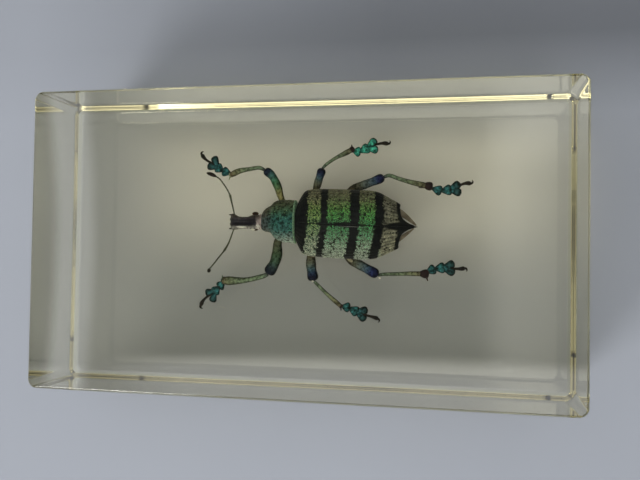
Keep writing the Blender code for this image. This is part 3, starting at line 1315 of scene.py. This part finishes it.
def makeTibia(name, leg, seed):
    bm = bmesh.new()
    stops = [(t, w * (leg["flare"] if t > 0.8 else 1.0)) for t, w in limbShape["tibia"]]
    girth = lambda t: leg["tibiaHalf"] * curveAt(stops, t)[0]
    growLimb(bm, leg["tibia"], girth, sides=24, flat=0.75, steps=16)
    markCover(bm, lambda spot: 0.6 * ramp01(noise.noise(spot * 2.1), -0.3, 0.15))
    tidyMesh(bm, toWaist)
    sowScales(bm, "tibia_scales_" + name, limbScaleFinishes["tibia"], seed, 0.12, 0.62)
    showPiece(bm, "tibia_" + name, limbFinishes["tibia"])

    bm = bmesh.new()
    end = Vector(leg["tibia"][-1])
    back = (end - Vector(leg["tibia"][-2])).normalized()
    route = [end - back * leg["tipHalf"] * 1.3, end, end + back * leg["tipHalf"] * 0.9]
    growLimb(bm, route, girthOf("tip", leg["tipHalf"]), sides=24, flat=0.8, steps=9)
    thorn = [between(end, leg["tibia"][-2], 0.15), between(end, leg["spur"], 0.45), leg["spur"]]
    growLimb(bm, thorn, lambda t: (0.24 - 0.19 * t) * (0.6 + leg["tipHalf"]), sides=14, steps=6)
    placePiece(bm, toWaist, "tibia_tip_" + name, tipFinishes[leg["tipFinish"]])


for number, (legName, legSpec) in enumerate(legs.items()):
    makeFemur(legName, legSpec, 50 + number)
    makeTibia(legName, legSpec, 60 + number)
    makeFoot(legName, legSpec)
    makeClaws(legName, legSpec)
print("legs ready")


tailSkins = {
    # thin dried skins between the wing cases and the tail tip: route and half width
    "right": ([(13.6, 2.05, -0.75), (14.6, 1.45, -0.95), (15.5, 0.75, -1.15), (16.2, 0.18, -1.3)], 0.46),
    "left": ([(13.6, -2.0, -0.8), (14.4, -1.45, -1.0), (15.2, -0.8, -1.2), (15.9, -0.25, -1.35)], 0.34),
}
joinPatches = {
    # pale dried skin that shows at the base of a femur, and air under the resin at a knee drawn as a pale
    # silvery blob: a painted glint
    "hind_left_base": ([(6.75, -4.75, -1.95), (7.3, -5.12, -1.85), (7.95, -5.42, -1.7)], 0.2, "skin"),
    "middle_left_knee": ([(2.2, -7.98, -0.24), (2.36, -8.06, -0.2), (2.52, -8.1, -0.24)], 0.15, "air"),
    "hind_left_knee": ([(11.32, -7.32, -0.3), (11.48, -7.44, -0.28), (11.62, -7.5, -0.34)], 0.15, "air"),
}


def makeSkins():
    for side, (route, half) in tailSkins.items():
        bm = bmesh.new()
        growLimb(bm, route, lambda t: half * (1.05 - t) ** 0.6, sides=16, flat=0.16, steps=10)
        placePiece(bm, hindBody, "tail_skin_" + side, tailSkinFinish)
    for place, (route, half, kind) in joinPatches.items():
        bm = bmesh.new()
        growLimb(bm, route, lambda t: half * swell(t), sides=14, flat=0.5, steps=8)
        placePiece(bm, toWaist, "patch_" + place, patchFinishes[kind])


makeSkins()
print("dried skins ready")


castingFlaws = {
    # small marks in the resin close to the upper face and a dust grain by the weevil: ends and half width
    "seam_hair": ((6.4, -0.8, 9.7), (10.4, -0.96, 9.7), 0.018),
    "right_scratch": ((18.4, -9.8, 9.5), (19.6, -9.86, 9.5), 0.035),
    "left_scratch": ((-8.9, -11.3, 9.5), (-7.7, -11.6, 9.5), 0.028),
    "corner_scratch": ((-22.7, -5.6, 9.5), (-21.9, -6.05, 9.5), 0.035),
    "upper_speck": ((-1.62, 11.2, 9.0), (-1.5, 11.24, 9.0), 0.075),
    "left_speck": ((-22.85, -6.62, 9.5), (-22.7, -6.6, 9.5), 0.08),
    "dust_grain": ((-5.22, -8.5, 3.0), (-5.3, -8.9, 3.0), 0.055),
}


def makeFlaws():
    bm = bmesh.new()
    for start, end, half in castingFlaws.values():
        middle = between(Vector(start), Vector(end), 0.5)
        growLimb(bm, [start, tuple(middle), end], lambda t: half * swell(t), sides=8, steps=6)
    placePiece(bm, toWaist, "casting_marks", flawFinish)


makeFlaws()
print("casting marks ready")


def productOf(tree, point, limits):
    # a soft-edged field: each limit is an axis and the two values between which it comes up
    result = None
    for axis, dark, bright in limits:
        inputs = {"Value": axisOf(tree, point, axis), "From Min": dark, "From Max": bright}
        edge = nodeOf(tree, "ShaderNodeMapRange", inputs, interpolation_type="SMOOTHSTEP")
        share = edge.outputs["Result"]
        result = share if result is None else timesOf(tree, result, share)
    return result


studio = {
    "floorSize": 1.2,
    "floorDrop": 0.3,
    "floorColour": (0.414, 0.438, 0.492),
    "farCornerShade": 0.52,
    # where the painted pool of light lies on the paper, and its colour
    "patch": [("X", -0.034, -0.012), ("X", 0.046, 0.02), ("Y", -0.008, 0.008), ("Y", 0.0205, 0.0120)],
    "lightPoolColour": (0.82, 0.82, 0.84),
    "worldColour": (0.9, 0.95, 1.0),
    "worldStrength": 0.06,
}


def makeFloor():
    bm = bmesh.new()
    bmesh.ops.create_grid(bm, x_segments=4, y_segments=4, size=studio["floorSize"] / 2)
    bmesh.ops.translate(bm, vec=Vector((0.0, 0.0, blockLow.z - studio["floorDrop"] * mm)), verts=bm.verts)
    mesh = bpy.data.meshes.new("floor")
    bm.to_mesh(mesh)
    bm.free()
    floor = bpy.data.objects.new("floor", mesh)
    bpy.context.scene.collection.objects.link(floor)
    finish, tree, shader = newFinish("pale paper", studio["floorColour"], 0.75)
    point = objectPoint(tree)
    shade = noiseOf(tree, point, 25.0, 2.0)
    low = tuple(c * 0.97 for c in studio["floorColour"])
    colour = rampOf(tree, shade, [(0.3, low), (0.7, studio["floorColour"])])
    # painted shade: the paper is darkened towards its far right corner
    farther = timesOf(tree, axisOf(tree, point, "Y"), 10.0)
    rightward = timesOf(tree, axisOf(tree, point, "X"), 5.0)
    back = greyRamp(tree, farther, (0.2, 0.0), (0.32, 1.0))
    right = greyRamp(tree, sumOf(tree, rightward, 0.5), (0.25, 0.15), (0.55, 1.0))
    farShade = timesOf(tree, back, right)
    colour = mixOf(tree, farShade, colour, tuple(c * studio["farCornerShade"] for c in studio["floorColour"]))
    # a painted pool of light: the paper is whiter under the far half of the block
    colour = mixOf(tree, productOf(tree, point, studio["patch"]), colour, studio["lightPoolColour"])
    paint(tree, shader, colour)
    mesh.materials.append(finish)


lamp = {"place": (-0.24, -0.28, 0.32), "target": (0.0, 0.0, 0.0), "size": 0.16, "power": 0.95}

# Soft bright areas of the room. Each limit is an axis of the view direction and the values
# between which the light comes up from nothing to full. A shade holds the light back in the
# directions that the polished top face would throw over the weevil.
windows = {
    "frontLow": {"colour": (1.0, 0.97, 0.9), "strength": 1.5, "limits": [
        ("Y", -0.2, -0.45), ("X", -0.56, -0.38), ("X", 0.6, 0.3), ("Z", -0.02, 0.02), ("Z", 0.6, 0.35)]},
    "frontHigh": {"colour": (0.97, 0.98, 1.0), "strength": 1.9, "limits": [
        ("Y", -0.13, -0.155), ("Z", 0.86, 0.92)]},
    "leftHigh": {"colour": (0.95, 0.98, 1.0), "strength": 2.4, "limits": [
        ("X", -0.475, -0.495), ("X", -0.535, -0.517), ("Z", 0.7, 0.8)]},
    "backRight": {"colour": (1.0, 0.99, 0.96), "strength": 1.6, "limits": [
        ("X", 0.0, 0.12), ("X", 0.34, 0.24), ("Y", 0.1, 0.21), ("Y", 0.4, 0.3), ("Z", 0.7, 0.8)]},
    "horizon": {"colour": (1.0, 0.94, 0.78), "strength": 0.24, "limits": [
        ("Z", -0.02, 0.02), ("Z", 0.6, 0.3)]},
    "ceiling": {"colour": (0.97, 0.985, 1.0), "strength": 0.8,
        "limits": [("Z", 0.62, 0.8), ("X", -0.55, -0.515)],
        "shade": [("X", -0.5, -0.36), ("X", 0.08, 0.02), ("Y", -0.19, -0.125), ("Y", 0.22, 0.165)],
        "shadeDepth": 0.97},
}


def softWindow(tree, direction, spec):
    amount = productOf(tree, direction, spec["limits"])
    if "shade" in spec:
        held = timesOf(tree, productOf(tree, direction, spec["shade"]), spec["shadeDepth"])
        amount = timesOf(tree, amount, mathOf(tree, "SUBTRACT", 1.0, held))
    inputs = {0: tuple(c * spec["strength"] for c in spec["colour"]), "Scale": amount}
    return nodeOf(tree, "ShaderNodeVectorMath", inputs, operation="SCALE").outputs["Vector"]


def makeStudio():
    world = bpy.data.worlds.new("soft room")
    world.use_nodes = True
    tree = world.node_tree
    direction = nodeOf(tree, "ShaderNodeTexCoord").outputs["Generated"]
    faint = {i: c * studio["worldStrength"] for i, c in enumerate(studio["worldColour"])}
    total = nodeOf(tree, "ShaderNodeCombineXYZ", faint).outputs["Vector"]
    for spec in windows.values():
        inputs = {0: total, 1: softWindow(tree, direction, spec)}
        total = nodeOf(tree, "ShaderNodeVectorMath", inputs, operation="ADD").outputs["Vector"]
    tree.links.new(total, tree.nodes["Background"].inputs["Color"])
    bpy.context.scene.world = world

    light = bpy.data.lights.new("softLamp", "AREA")
    light.size = lamp["size"]
    light.energy = lamp["power"]
    stand = bpy.data.objects.new("softLamp", light)
    bpy.context.scene.collection.objects.link(stand)
    stand.location = lamp["place"]
    aim = Vector(lamp["target"]) - Vector(lamp["place"])
    stand.rotation_euler = aim.to_track_quat("-Z", "Y").to_euler()
    stand.visible_camera = False
    bpy.context.scene.view_settings.view_transform = "Standard"


view = {
    "place": (0.02089, -0.00210, 0.10644),
    "turn": (1.687, 10.999, 0.868),
    "lens": 39.2,
    "clip": (0.005, 20.0),
}


def makeCamera():
    camera = bpy.data.cameras.new("camera")
    camera.lens = view["lens"]
    camera.clip_start, camera.clip_end = view["clip"]
    stand = bpy.data.objects.new("camera", camera)
    bpy.context.scene.collection.objects.link(stand)
    stand.location = view["place"]
    stand.rotation_euler = [math.radians(a) for a in view["turn"]]
    bpy.context.scene.camera = stand


makeFloor()
makeStudio()
makeCamera()
print("studio ready")
